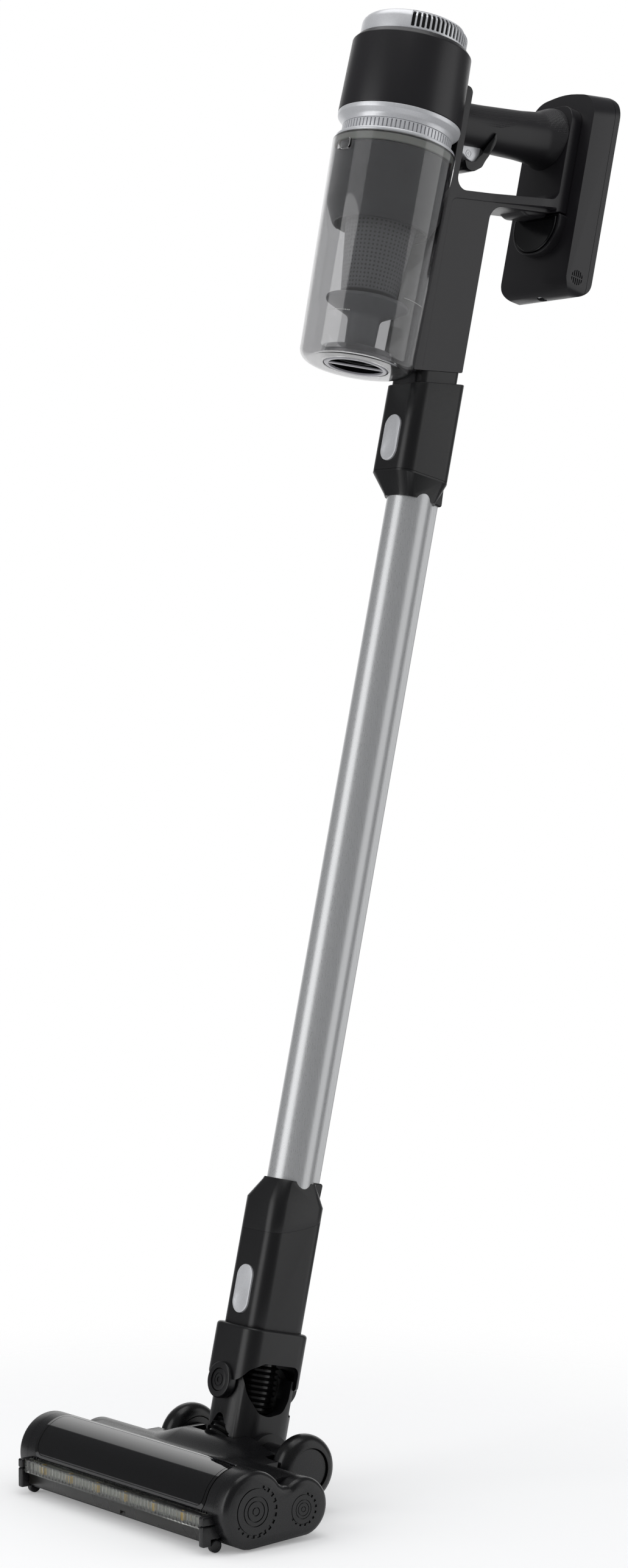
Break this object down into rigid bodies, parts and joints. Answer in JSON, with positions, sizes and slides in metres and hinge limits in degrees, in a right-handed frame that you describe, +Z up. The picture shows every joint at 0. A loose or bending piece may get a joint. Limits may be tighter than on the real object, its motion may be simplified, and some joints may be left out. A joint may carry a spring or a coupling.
{
  "type": "cordless stick vacuum cleaner",
  "caption": "Cordless stick vacuum with a clear cyclone dust cup, pistol grip and clip-on battery, a long wand and a motorised roller floor head on a two-way neck.",
  "frame": {"origin": "centre of the hand grip", "axes": "+Z up, -Y the way the floor head moves forward, +X to the side of the belt cover; the wand leans 13 degrees back from upright"},
  "size_m": [0.274, 0.4989, 1.1746],
  "materials": {
    "matt_black": "fine matt",
    "gloss_black": "gloss",
    "satin_silver": "satin metallic paint",
    "tube_aluminium": "satin anodised",
    "smoke_clear": "gloss, smoked",
    "dark_plastic": "satin",
    "rubber": "matt",
    "tyre": "satin",
    "steel": "turned",
    "motor_alloy": "turned",
    "circuit_board": "satin",
    "lamp_board": "satin",
    "cells": "wrapped in film",
    "seal_rubber": "matt",
    "filter_felt": "pleated",
    "brush_fibre": "dense pile"
  },
  "bodies": {
    "vacuum": {"handle_frame": "matt_black", "inlet_spigot": "matt_black", "hand_grip": "matt_black", "trigger_guard": "gloss_black", "trigger_switch": "dark_plastic", "motor_housing": "matt_black", "motor_can": "motor_alloy", "exhaust_cap": "satin_silver", "exhaust_filter": "filter_felt", "flare_ring": "satin_silver", "fluted_ring": "satin_silver", "lip_ring": "satin_silver", "wand_upper_collar": "matt_black", "wand_upper_cone": "matt_black", "wand_tube": "tube_aluminium", "wand_lower_collar": "matt_black", "head_inlet": "matt_black", "neck_sleeve": "matt_black", "front_pivot_pin": "dark_plastic", "back_pivot_pin": "dark_plastic", "upper_hose": "rubber"},
    "fan": {"impeller": "motor_alloy"},
    "trigger": {"trigger": "satin_silver"},
    "battery": {"battery_case": "matt_black", "battery_cover": "matt_black", "cell_pack": "cells", "battery_board": "circuit_board", "charge_socket": "steel"},
    "battery_latch": {"battery_latch": "dark_plastic"},
    "dust_bin": {"dust_cup": "smoke_clear", "cup_seal": "seal_rubber", "cyclone_shroud": "dark_plastic", "filter_cone": "dark_plastic", "skirt_tube": "dark_plastic"},
    "cup_knob": {"cup_knob": "dark_plastic"},
    "wand_button": {"wand_release_button": "satin_silver"},
    "head_button": {"head_release_button": "satin_silver"},
    "yoke": {"neck_yoke": "matt_black"},
    "floor_head": {"head_cover": "matt_black", "head_base": "matt_black", "roller_window": "smoke_clear", "drive_end_cap": "gloss_black", "idle_end_cap": "gloss_black", "lamp_lens": "smoke_clear", "lamp_board": "lamp_board", "front_strip": "smoke_clear", "brush_motor": "motor_alloy", "drive_belt": "rubber", "left_axle": "steel", "right_axle": "steel", "lower_hose": "rubber"},
    "brush_roller": {"brush_core": "dark_plastic", "brush_fibre": "brush_fibre"},
    "motor_pulley": {"motor_pulley": "steel"},
    "left_wheel": {"left_tyre": "tyre", "left_hub": "dark_plastic"},
    "right_wheel": {"right_tyre": "tyre", "right_hub": "dark_plastic"},
    "left_caster": {"left_caster": "rubber"},
    "right_caster": {"right_caster": "rubber"}
  },
  "joints": [
    {"name": "fan_spin", "type": "hinge", "parent": "vacuum", "child": "fan", "pos_m": [0, -0.1034, 0.01002], "axis": [0, 0.225, 0.9744], "continuous": true},
    {"name": "trigger_pull", "type": "slide", "parent": "vacuum", "child": "trigger", "axis": [0, 0.9744, -0.225], "range_m": [0, 0.004], "stiffness_N_per_m": 300},
    {"name": "battery_removal", "type": "slide", "parent": "vacuum", "child": "battery", "axis": [0, -0.225, -0.9744], "range_m": [0, 0.11]},
    {"name": "battery_latch_press", "type": "slide", "parent": "battery", "child": "battery_latch", "axis": [0, 0.9744, -0.225], "range_m": [0, 0.0025], "stiffness_N_per_m": 400},
    {"name": "dust_bin_removal", "type": "slide", "parent": "vacuum", "child": "dust_bin", "axis": [0, -0.9744, 0.225], "range_m": [0, 0.11]},
    {"name": "cup_knob_turn", "type": "hinge", "parent": "dust_bin", "child": "cup_knob", "pos_m": [0, -0.15109, -0.19655], "axis": [0, 0.225, 0.9744], "range_deg": [0, 45]},
    {"name": "wand_button_press", "type": "slide", "parent": "vacuum", "child": "wand_button", "axis": [0, 0.9744, -0.225], "range_m": [0, 0.0025], "stiffness_N_per_m": 400},
    {"name": "head_button_press", "type": "slide", "parent": "vacuum", "child": "head_button", "axis": [0, 0.9744, -0.225], "range_m": [0, 0.0025], "stiffness_N_per_m": 400},
    {"name": "neck_roll", "type": "hinge", "parent": "vacuum", "child": "yoke", "pos_m": [0, -0.25707, -1.00236], "axis": [0, 0.9744, -0.225], "range_deg": [-34, 34], "deforming": ["upper_hose"]},
    {"name": "neck_pitch", "type": "hinge", "parent": "yoke", "child": "floor_head", "pos_m": [0, -0.26656, -1.05457], "axis": [1, 0, 0], "range_deg": [-13, 62], "deforming": ["lower_hose"]},
    {"name": "brush_spin", "type": "hinge", "parent": "floor_head", "child": "brush_roller", "pos_m": [0, -0.35956, -1.06107], "axis": [1, 0, 0], "continuous": true},
    {"name": "motor_pulley_spin", "type": "hinge", "parent": "floor_head", "child": "motor_pulley", "pos_m": [0.12, -0.31356, -1.06507], "axis": [1, 0, 0], "continuous": true},
    {"name": "left_wheel_spin", "type": "hinge", "parent": "floor_head", "child": "left_wheel", "pos_m": [-0.073, -0.26656, -1.05457], "axis": [1, 0, 0], "continuous": true},
    {"name": "right_wheel_spin", "type": "hinge", "parent": "floor_head", "child": "right_wheel", "pos_m": [0.073, -0.26656, -1.05457], "axis": [1, 0, 0], "continuous": true},
    {"name": "left_caster_spin", "type": "hinge", "parent": "floor_head", "child": "left_caster", "pos_m": [-0.1195, -0.38456, -1.08557], "axis": [1, 0, 0], "continuous": true},
    {"name": "right_caster_spin", "type": "hinge", "parent": "floor_head", "child": "right_caster", "pos_m": [0.1195, -0.38456, -1.08557], "axis": [1, 0, 0], "continuous": true}
  ],
  "couplings": [
    {"joint": "motor_pulley_spin", "follows": "brush_spin", "ratio": 1.8571}
  ]
}
